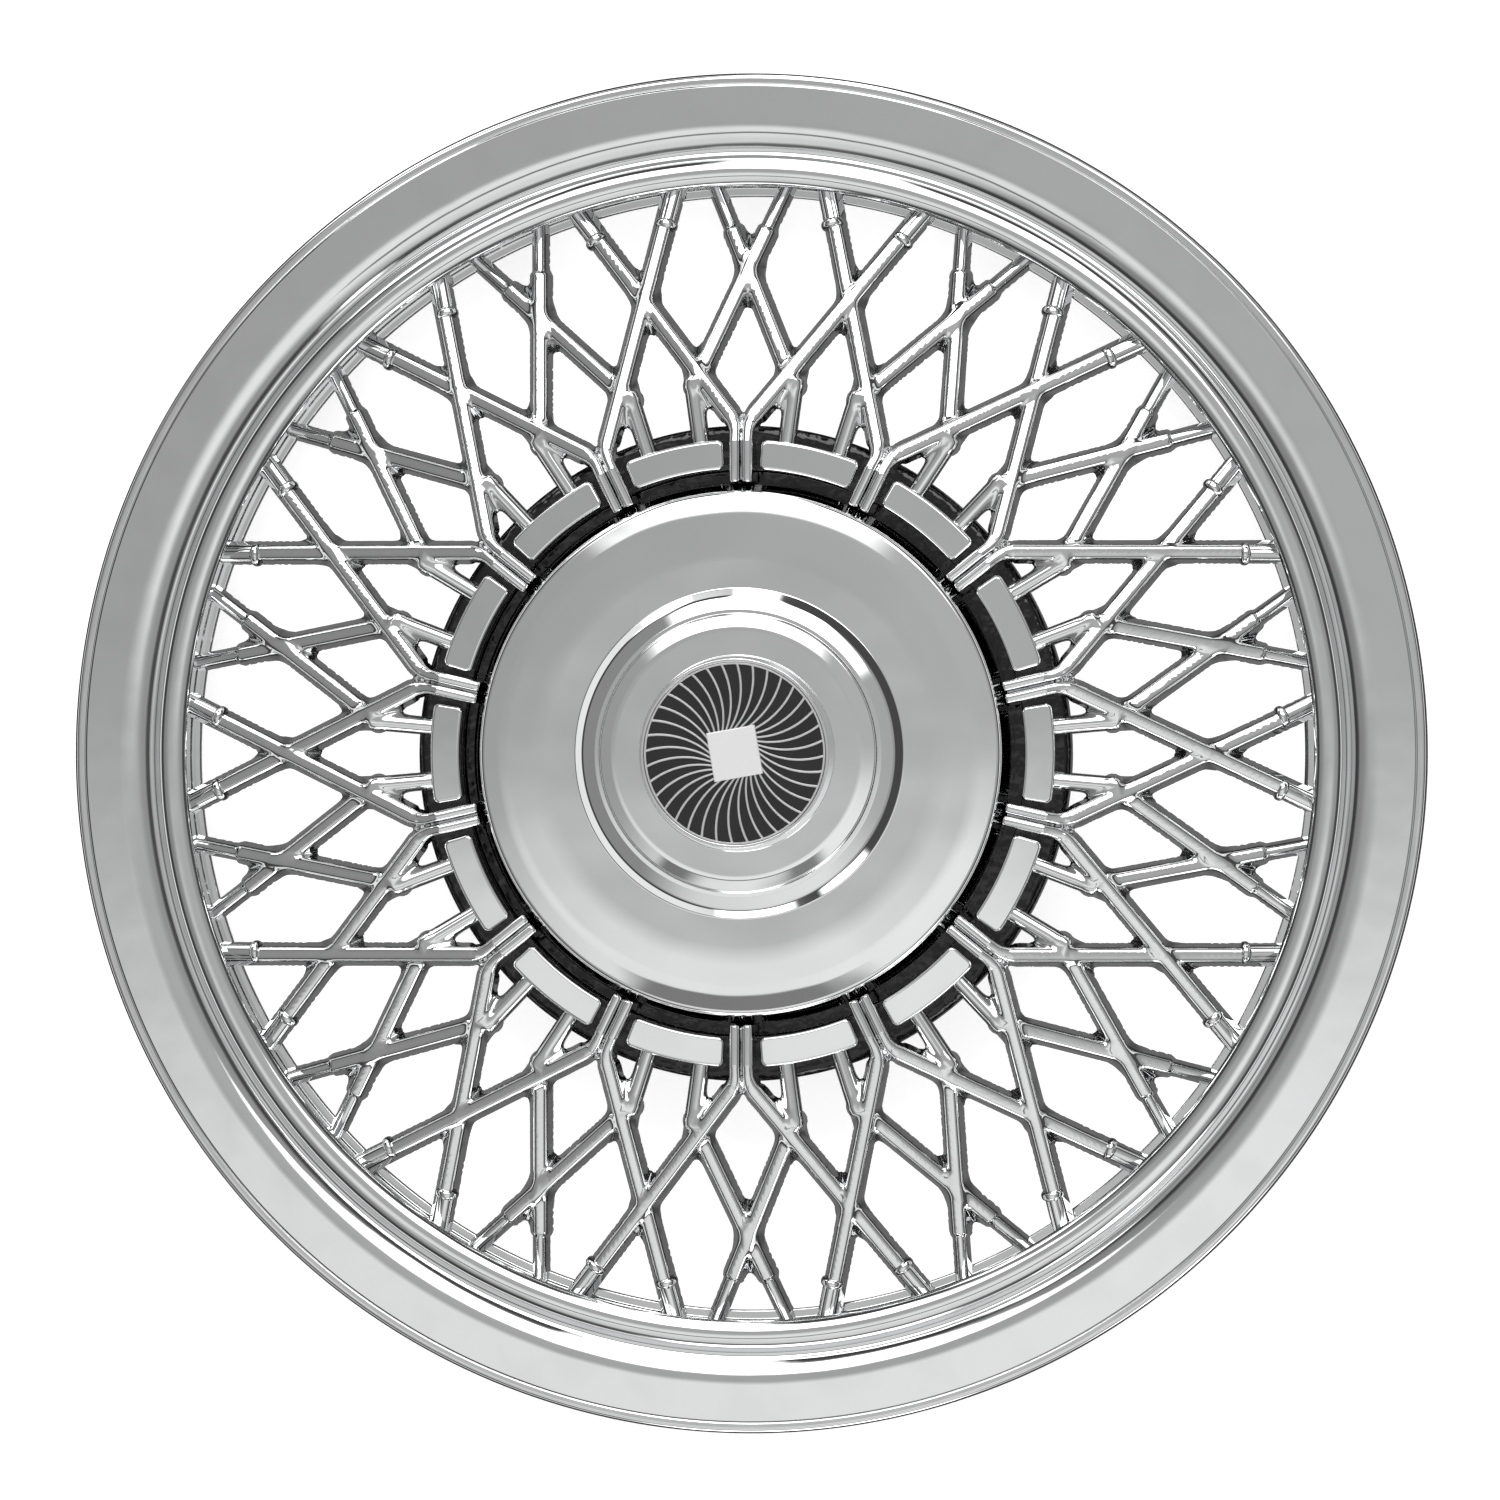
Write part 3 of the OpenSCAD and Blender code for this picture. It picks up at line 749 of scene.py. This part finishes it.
class COVER_OT_legs(PieceOperator):
    """Builds the retention legs with their snap noses and wire notches"""

    bl_idname = "cover.legs"
    bl_label = "Retention Legs"

    def execute(self, context):
        m = measures(context)
        out, inner, top = m.band_in - 0.5, m.band_in - 3.5, 26.0
        outline = rounded([
            (inner, top), (out, top), (out, 10.9, 1.0), (out + 2.2, 8.7, 0.6), (out, 0.0, 0.5),
            (inner - 1.0, 0.0, 0.4), (inner - 1.9, 2.4, 0.5), (inner - 1.9, 3.6, 0.3),
            (inner - 0.4, 3.5, 0.6), (inner, m.wire_z, 0.8), (inner - 0.4, 6.9, 0.6),
            (inner - 1.9, 6.8, 0.3), (inner - 1.9, 8.0, 0.5), (inner, 10.9, 1.0),
        ], 15.0)
        half = math.degrees(m.leg_width / 2 / out)
        leg = revolve(outline, 12, (90 - half, 90 + half))
        parts = [turned(leg, k * m.sector) for k in range(m.forks)]
        piece = make_piece("retention_legs", *join_parts(parts), material=moulding_chrome(context))
        cap_ends(piece)
        self.settle(piece, "plated_moulding", "cover_moulding")
        return {"FINISHED"}


def cap_ends(piece):
    """Fills the open ends of a piece's solids."""
    work = bmesh.new()
    work.from_mesh(piece.data)
    bmesh.ops.remove_doubles(work, verts=work.verts, dist=1e-7)
    rims = [edge for edge in work.edges if edge.is_boundary]
    faces = bmesh.ops.holes_fill(work, edges=rims, sides=0)["faces"]
    for face in faces:
        face.smooth = False
    work.to_mesh(piece.data)
    work.free()
    piece.data.set_sharp_from_angle(angle=math.radians(35))


class COVER_OT_hub(PieceOperator):
    """Builds the hub ring with its groove, rim and skirt"""

    bl_idname = "cover.hub"
    bl_label = "Hub Ring"

    def execute(self, context):
        m = measures(context)
        inner = m.pad_in - 0.4
        shelf_back, hub_back, skirt_r = m.shelf_z - m.wall, m.hub_z - m.wall, m.hub_r - m.wall
        outline = rounded([
            (m.shelf_in, m.shelf_z, 0.4), (inner, m.shelf_z, 0.5), (inner, m.hub_z, 0.5),
            (m.hub_r, m.hub_z, 2.6), (m.hub_r, shelf_back, 0.5), (skirt_r, shelf_back, 0.5),
            (skirt_r, hub_back, 0.5), (inner + m.wall, hub_back, 0.5), (inner + m.wall, shelf_back, 0.5),
            (m.shelf_in, shelf_back, 0.4),
        ], 11.25)
        # Near-black plate over the whole hub ring: painted shade, so the groove by the cap and the rim round
        # the pads read as dark as deep shadow
        finish = finish_of("plate_smoked", chrome, grey(0.045), 0.1, 0.35, 260.0, 0.1)
        piece = make_piece("hub_ring", *revolve(outline, 280), material=finish)
        self.settle(piece, "plated_moulding", "cover_moulding")
        return {"FINISHED"}


def pad_outline(m, inset, corner=1.9, steps=6):
    """Closed plan of a pad about +Y, drawn in by inset, with its outward normals."""
    outer, inner, half = m.pad_out - inset, m.pad_in + inset, math.radians(m.pad_arc / 2)
    corner = max(corner - inset, 0.35)
    points, normals = [], []

    def add(centre, radius, start, end, count, outward=1):
        """Adds an arc, whose normals point to its centre where outward is -1."""
        for a in np.linspace(start, end, count):
            direction = np.array([math.cos(a), math.sin(a)])
            points.append(centre + radius * direction)
            normals.append(outward * direction)

    right = math.pi / 2
    co, ci = outer - corner, inner + corner
    ao = half - math.asin((corner + inset) / co)
    ai = half - math.asin((corner + inset) / ci)
    add(np.zeros(2), outer, right + ao, right - ao, 22)
    add(co * np.array([math.sin(ao), math.cos(ao)]), corner, right - ao, -half, steps)
    add(ci * np.array([math.sin(ai), math.cos(ai)]), corner, -half, -right - ai, steps)
    add(np.zeros(2), inner, right - ai, right + ai, 22, -1)
    add(ci * np.array([-math.sin(ai), math.cos(ai)]), corner, 3 * right + ai, 2 * right + half, steps)
    add(co * np.array([-math.sin(ao), math.cos(ao)]), corner, 2 * right + half, right + ao, steps)
    return np.array(points), np.array(normals)


def pad_part(m, edge=1.0, slope=0.13, steps=6):
    """One pad with a rounded upper edge and a top that falls outwards."""
    loops, slopes = [], []
    levels = [(m.hub_z - 1.0, 0.0, 0.0), (m.pad_z - edge, 0.0, 0.0)]
    for k in range(1, steps + 1):
        a = math.radians(90 * k / steps)
        levels.append((m.pad_z - edge + edge * math.sin(a), edge * (1 - math.cos(a)), a))
    for z, inset, a in levels:
        plan, out = pad_outline(m, inset)
        loops.append(np.column_stack([plan, np.full(len(plan), z)]))
        slopes.append(np.column_stack([out * math.cos(a), np.full(len(out), math.sin(a))]))
    count = len(loops[0])
    middle = [0, (m.pad_in + m.pad_out) / 2, m.pad_z]
    points = np.vstack(loops + [middle])
    normals = np.vstack(slopes + [[0, 0, 1]])
    j = np.arange(count)
    after = (j + 1) % count
    quads = [
        np.stack([low + j, low + after, low + count + after, low + count + j], 1)
        for low in range(0, (len(loops) - 1) * count, count)
    ]
    top = (len(loops) - 1) * count
    triangles = np.stack([top + j, top + after, np.full(count, len(points) - 1)], 1)
    radius = np.hypot(points[:, 0], points[:, 1])
    lean = np.where(points[:, 2] > m.hub_z, slope, 0.0)
    points[:, 2] -= lean * (radius - m.pad_in)
    normals[:, :2] += (lean * normals[:, 2] / radius)[:, None] * points[:, :2]
    return points, np.vstack(quads)[:, ::-1], triangles[:, ::-1], normals


class COVER_OT_pads(PieceOperator):
    """Builds the raised pads on the hub ring's rim"""

    bl_idname = "cover.pads"
    bl_label = "Hub Pads"

    def execute(self, context):
        m = measures(context)
        one = pad_part(m)
        parts = [turned(one, (k + 0.5) * m.sector) for k in range(m.forks)]
        piece = make_piece("hub_pads", *join_parts(parts), material=moulding_chrome(context))
        self.settle(piece, "plated_moulding", "cover_moulding")
        return {"FINISHED"}


class COVER_OT_lattice(PieceOperator):
    """Builds the crossed spokes with their ribs and stubs as one filleted lattice"""

    bl_idname = "cover.lattice"
    bl_label = "Spoke Lattice"

    def execute(self, context):
        m = measures(context)
        points, quads = whole_lattice(m)
        piece = make_piece("spoke_lattice", points, quads, material=moulding_chrome(context))
        triangles, most, wanted = 2 * len(quads), 195000, 190000
        if triangles > most:
            lean = piece.modifiers.new("lean", "DECIMATE")
            lean.ratio = wanted / triangles
            view = bpy.context.evaluated_depsgraph_get()
            mesh = bpy.data.meshes.new_from_object(piece.evaluated_get(view))
            piece.modifiers.clear()
            piece.data = mesh
        mesh = piece.data
        where = np.empty(len(mesh.vertices) * 3, np.float32)
        mesh.vertices.foreach_get("co", where)
        mesh.polygons.foreach_set("use_smooth", np.ones(len(mesh.polygons), bool))
        normals = lattice_normals(m, where.reshape(-1, 3).astype(float) / MM)
        mesh.normals_split_custom_set_from_vertices(normals.astype(np.float32))
        self.settle(piece, "plated_moulding", "cover_moulding")
        return {"FINISHED"}


class COVER_OT_nipples(PieceOperator):
    """Builds the collared nipples where the front spokes meet the barrel wall"""

    bl_idname = "cover.nipples"
    bl_label = "Spoke Nipples"

    def execute(self, context):
        m = measures(context)
        reach, sink = 13.4, 0.5
        profile = [
            (0.0, 0.4, 0), (0.0, 2.4, 0.2), (0.1, 3.5, 1.2), (2.7, 3.5, 1.2), (2.8, 2.5, 0.2),
            (reach, 2.5, 0), (reach, 0.4, 0),
        ]
        bend = (m.rib_x + m.tangent * math.sin(m.front_turn), m.fork_r + m.tangent * math.cos(m.front_turn))
        parts = []
        for hand, lift in ((1, m.weave), (-1, 0)):
            start, land = (
                np.array([hand * x, y, front_height(m, y, lift) - sink]) for x, y in (bend, m.front_land)
            )
            along = (land - start) / np.linalg.norm(land - start)
            one = lathe_between(land - along * reach, land, profile)
            parts += [turned(one, k * m.sector) for k in range(m.forks)]
        piece = make_piece("spoke_nipples", *join_parts(parts), material=moulding_chrome(context))
        self.settle(piece, "plated_moulding", "cover_moulding")
        return {"FINISHED"}


class COVER_OT_cap(PieceOperator):
    """Builds the centre cap with its boss, its button and its snap tabs"""

    bl_idname = "cover.cap"
    bl_label = "Centre Cap"

    def execute(self, context):
        m = measures(context)
        face, boss, button = m.face_z, m.boss_z, m.button_z
        outline = rounded([
            (0.0, m.seat_z), (27.0, m.seat_z, 0.15), (27.0, button, 0.3), (28.0, button, 0.25),
            (29.0, boss, 0.25), (37.0, boss - 0.1, 7.0), (41.0, boss - 1.1, 1.0), (41.4, boss - 2.0, 0.3),
            (42.6, boss - 2.1, 0.8), (46.4, boss - 3.5, 4.0), (48.9, face, 0.9), (60.0, face - 0.1, 90.0),
            (70.5, face - 0.9, 30.0), (77.3, face - 2.3, 2.4), (80.0, face - 9, 1.5),
            (80.0, m.shelf_z, 0.4), (77.8, m.shelf_z, 0.4), (77.8, face - 9.6, 1.0), (75.4, face - 4.2, 1.0),
            (60.0, face - 2.4, 20.0), (46.0, face - 2.2, 0.6), (38.6, boss - 4.2, 0.6),
            (26.8, boss - 2.2, 0.6), (25.0, m.seat_z - 2.2, 0.5), (0.0, m.seat_z - 2.2),
        ], 6.0)
        piece = make_piece("cap_shell", *revolve(outline, 300), material=cap_chrome(context))
        self.settle(piece, "plated_cap", "centre_cap")
        under = m.shelf_z - 2.6
        tab = rounded([
            (67.6, face - 2.5), (69.8, face - 2.5), (69.8, under, 0.3), (70.9, under - 0.55, 0.3),
            (68.7, under - 4.4, 0.4), (67.6, under - 4.4, 0.3),
        ], 15.0)
        count = 7
        tabs = [turned(revolve(tab, 8, (84, 96)), k * 360 / count) for k in range(count)]
        piece = make_piece("cap_tabs", *join_parts(tabs), material=cap_chrome(context))
        cap_ends(piece)
        self.settle(piece, "plated_cap", "centre_cap")
        return {"FINISHED"}


class COVER_OT_emblem(PieceOperator):
    """Builds the emblem: dark field, curved lines, rim and bare square plate"""

    bl_idname = "cover.emblem"
    bl_label = "Emblem"

    def execute(self, context):
        sizes = context.scene.cover_sizes
        m = measures(context)
        z = m.seat_z
        field = finish_of("emblem_enamel", enamel, opaque(sizes.enamel_colour))
        line = finish_of("emblem_bright", bright_line, grey(0.62))
        white = finish_of("emblem_white", bright_line, grey(0.95))
        disc = rounded([(0.0, z), (26.6, z, 0.1), (26.6, z + 1.6, 0.1), (0.0, z + 1.6)], 22.5)
        rim = rounded([
            (26.3, z + 0.2, 0.05), (26.9, z + 0.2, 0.1), (26.9, z + 2.2, 0.15), (26.3, z + 2.2, 0.15),
        ], 22.5)
        parts = [swirl_part(z + 1.6, k * 360 / sizes.swirl_lines - 0.8) for k in range(sizes.swirl_lines)]
        pieces = (
            make_piece("emblem_field", *revolve(disc, 200), material=field),
            make_piece("emblem_rim", *revolve(rim, 240), material=line),
            make_piece("emblem_lines", *join_parts(parts), material=line),
            make_piece("emblem_plate", *plate_part(7.3, z + 1.4, z + 2.5, 10), material=white),
        )
        for piece in pieces:
            self.settle(piece, "emblem", "emblem_disc")
        return {"FINISHED"}


def swirl_part(z, bearing, curve=24.0, middle=18.8, bulge=1.6, steps=26):
    """One raised line that bulges off its radial from the plate to the rim, as a low rounded ribbon."""
    a = np.radians(np.linspace(-30.3, 18.5, steps))
    side = np.stack([np.cos(a), np.sin(a)], 1)
    path = np.array([bulge - curve, middle]) + curve * side
    width = np.linspace(0.26, 0.34, steps)
    section = [
        (-1.0, -0.1, (-1, 0)), (-0.95, 0.34, (-0.6, 0.8)), (-0.4, 0.5, (-0.15, 1)),
        (0.4, 0.5, (0.15, 1)), (0.95, 0.34, (0.6, 0.8)), (1.0, -0.1, (1, 0)),
    ]
    points, normals = [], []
    for across, height, (n_side, n_up) in section:
        points.append(np.column_stack([path + side * (across * width)[:, None], np.full(steps, z + height)]))
        normals.append(np.column_stack([side * n_side, np.full(steps, float(n_up))]))
    points, normals = np.stack(points, 1).reshape(-1, 3), np.stack(normals, 1).reshape(-1, 3)
    normals /= np.linalg.norm(normals, axis=1)[:, None]
    count = len(section)
    quads = grid_quads(steps, count, False)
    last = (steps - 1) * count
    ends = np.array([[0, 1, 2], [0, 2, 3], [0, 3, 4], [0, 4, 5]])
    triangles = np.vstack([ends, ends[:, ::-1] + last])
    return turned((points, quads[:, ::-1], triangles, normals), bearing)


def plate_part(half, low, high, bearing, edge=0.35):
    """A square plate with a bevelled rim."""
    loops = [
        (half, low, 1.0, 0.0), (half, high - edge, 1.0, 0.0),
        (half - edge * 0.3, high - edge * 0.3, 1.0, 1.0), (half - edge, high, 0.0, 1.0),
    ]
    corners = np.array([(-1, -1), (1, -1), (1, 1), (-1, 1)], float)
    points, normals = [], []
    for reach, z, flat, rise in loops:
        for side in range(4):
            a, b = corners[side], corners[(side + 1) % 4]
            out = (a + b) / 2
            for corner in (a, b):
                points.append([*(corner * reach), z])
                normals.append([*(out * flat), rise])
    points, normals = np.array(points), np.array(normals)
    normals /= np.linalg.norm(normals, axis=1)[:, None]
    quads = []
    for k in range(len(loops) - 1):
        for side in range(4):
            a, b = k * 8 + side * 2, k * 8 + side * 2 + 1
            quads.append([a, b, b + 8, a + 8])
    top = (len(loops) - 1) * 8
    quads += [[top, top + 2, top + 4, top + 6], [6, 4, 2, 0]]
    return turned((points, np.array(quads), np.zeros((0, 3), int), normals), bearing)


class COVER_OT_wire(PieceOperator):
    """Builds the spring wire with its inward step for the tyre valve"""

    bl_idname = "cover.wire"
    bl_label = "Spring Wire"

    def execute(self, context):
        sizes = context.scene.cover_sizes
        m = measures(context)
        radius, step, half, blend = 1.74, 10.0, 3.0, 6.0
        near = half + blend
        angles = np.concatenate([np.linspace(-near, near, 80), np.linspace(near, 360 - near, 400)[1:-1]])
        signed = np.where(angles > 180, angles - 360, angles)

        def path(t):
            """Plan of the wire's middle line at angles in degrees."""
            share = np.clip((np.abs(t) - half) / blend, 0, 1)
            r = m.wire_ring - step * (1 + np.cos(np.pi * share)) / 2
            return r[:, None] * np.stack([np.cos(np.radians(t)), np.sin(np.radians(t))], 1)

        centre = path(signed)
        run = path(signed + 0.02) - path(signed - 0.02)
        out = np.stack([run[:, 1], -run[:, 0]], 1) / np.linalg.norm(run, axis=1)[:, None]
        sides, count = 18, len(centre)
        w = 2 * np.pi * np.arange(sides) / sides
        normals = np.stack([
            out[:, None, 0] * np.cos(w), out[:, None, 1] * np.cos(w), np.ones((count, 1)) * np.sin(w),
        ], -1)
        points = np.column_stack([centre, np.full(count, m.wire_z)])[:, None, :] + radius * normals
        piece = make_piece(
            "spring_wire", points.reshape(-1, 3), grid_quads(count, sides), normals=normals.reshape(-1, 3),
            material=finish_of("spring_wire_steel", spring_steel, opaque(sizes.wire_colour)),
        )
        self.settle(piece, "spring_wire", "retention_wire")
        return {"FINISHED"}


class COVER_OT_stage(bpy.types.Operator):
    """Builds the pale floor, the studio's light and the camera"""

    bl_idname = "cover.stage"
    bl_label = "Stage"
    bl_options = {"REGISTER", "UNDO"}

    def execute(self, context):
        scene = context.scene
        stage = scene.cover_stage
        self.add_floor()
        self.light_studio(scene, stage)
        self.add_camera(scene, stage)
        scene.view_settings.view_transform = "Standard"
        return {"FINISHED"}

    def add_floor(self):
        """A pale floor that the plate doesn't reflect."""
        half = 6000.0
        points = np.array([(-1, -1, 0), (1, -1, 0), (1, 1, 0), (-1, 1, 0)], float) * half
        material, nodes = new_material("pale_floor")
        nodes.surface({
            "Base Color": grey(0.9), "Roughness": 0.7,
            "Emission Color": grey(1.0), "Emission Strength": 0.75,
        })
        floor = make_piece("floor", points, [[0, 1, 2, 3]], material=material)
        floor.visible_glossy = False

    def light_studio(self, scene, stage):
        """A room of light as the world's shader.

        u and v say where a direction points: 0 is straight up, and their reach is 1 at the horizon.
        """
        world = bpy.data.worlds.new("studio")
        world.use_nodes = True
        scene.world = world
        nodes = Nodes(world.node_tree)
        direction = nodes.add("ShaderNodeTexCoord")["Generated"]
        axes = nodes.add("ShaderNodeSeparateXYZ", {}, {"Vector": direction})
        x, y, z = axes["X"], axes["Y"], axes["Z"]
        lean = z + 1.001
        u, v = x / lean, y / lean
        reach = (u * u + v * v) ** 0.5

        def softbox(u0, u1, v0, v1, soft=0.03):
            """1 between two values of u and of v, with soft edges."""
            left, right = u.step(u0 - soft, u0 + soft), 1 - u.step(u1 - soft, u1 + soft)
            low, high = v.step(v0 - soft, v0 + soft), 1 - v.step(v1 - soft, v1 + soft)
            return left * right * low * high

        # Walls that are paler on the right and darker further down, with a glow towards -Y
        sides = (u * u) ** 0.5
        glow = (0 - v).step(-0.03, 0.1) * (1 - sides.step(0.14, 0.32)) * 0.46
        stripe = softbox(-0.2, 0.12, -0.235, -0.19, 0.012) * 0.75
        walls = stage.studio_grey + u.step(-0.2, 0.1) * 0.07 - reach.step(0.22, 0.45) * 0.14 + glow
        walls = walls * (1 - reach.step(0.5, 0.62) * 0.8) * (1 - stripe)
        rim = reach.step(0.76, 0.84) * 0.9
        boxes = (
            (-0.22, 0.26, 0.2, 0.5), (-0.1, 0.1, 0.46, 1.2), (-0.2, 0.18, -1.2, -0.7),
            (-0.56, -0.34, 0.5, 0.8), (0.34, 0.56, -0.8, -0.5),
        )
        lamps = sum(softbox(*box) for box in boxes)
        upper = walls + rim + lamps * stage.softbox_power

        # The dark ground under the horizon, a little paler straight down
        below = 0.02 + (0 - z).step(0.4, 0.9) * 0.17
        level = below + z.step(-0.06, 0.02) * (upper - below)
        light = nodes.add("ShaderNodeBackground", {}, {"Color": (1, 1, 1, 1), "Strength": level})
        nodes.add("ShaderNodeOutputWorld", {}, {"Surface": light["Background"]})

    def add_camera(self, scene, stage):
        """A long lens that leans towards +X."""
        data = bpy.data.cameras.new("camera")
        data.lens, data.sensor_width = stage.lens, 36.0
        data.clip_start, data.clip_end = 0.1, 20.0
        camera = bpy.data.objects.new("camera", data)
        scene.collection.objects.link(camera)
        target = np.array([0.0004, 0.001, 0.030])
        lean = stage.tilt
        camera.location = target + stage.distance * np.array([math.sin(lean), 0, math.cos(lean)])
        camera.rotation_euler = (0, lean, 0)
        scene.camera = camera


class COVER_PT_panel(bpy.types.Panel):
    """Lists the wheel cover's pieces, sizes and stage"""

    bl_idname = "COVER_PT_panel"
    bl_label = "Wire Wheel Cover"
    bl_space_type = "VIEW_3D"
    bl_region_type = "UI"
    bl_category = "Wheel Cover"

    def draw(self, context):
        layout = self.layout
        for group in (context.scene.cover_sizes, context.scene.cover_stage):
            column = layout.column(align=True)
            for name in group.__annotations__:
                column.prop(group, name)
        for operator in OPERATORS:
            layout.operator(operator.bl_idname)


OPERATORS = (
    COVER_OT_ring, COVER_OT_legs, COVER_OT_hub, COVER_OT_pads, COVER_OT_lattice, COVER_OT_nipples,
    COVER_OT_cap, COVER_OT_emblem, COVER_OT_wire, COVER_OT_stage,
)
CLASSES = (CoverSizes, StageSizes, *OPERATORS, COVER_PT_panel)


def register():
    for cls in CLASSES:
        bpy.utils.register_class(cls)
    bpy.types.Scene.cover_sizes = PointerProperty(type=CoverSizes)
    bpy.types.Scene.cover_stage = PointerProperty(type=StageSizes)


def unregister():
    del bpy.types.Scene.cover_stage
    del bpy.types.Scene.cover_sizes
    for cls in reversed(CLASSES):
        bpy.utils.unregister_class(cls)


def main():
    """Builds every piece in order."""
    register()
    for operator in OPERATORS:
        group, name = operator.bl_idname.split(".")
        getattr(getattr(bpy.ops, group), name)()


if __name__ == "__main__":
    main()
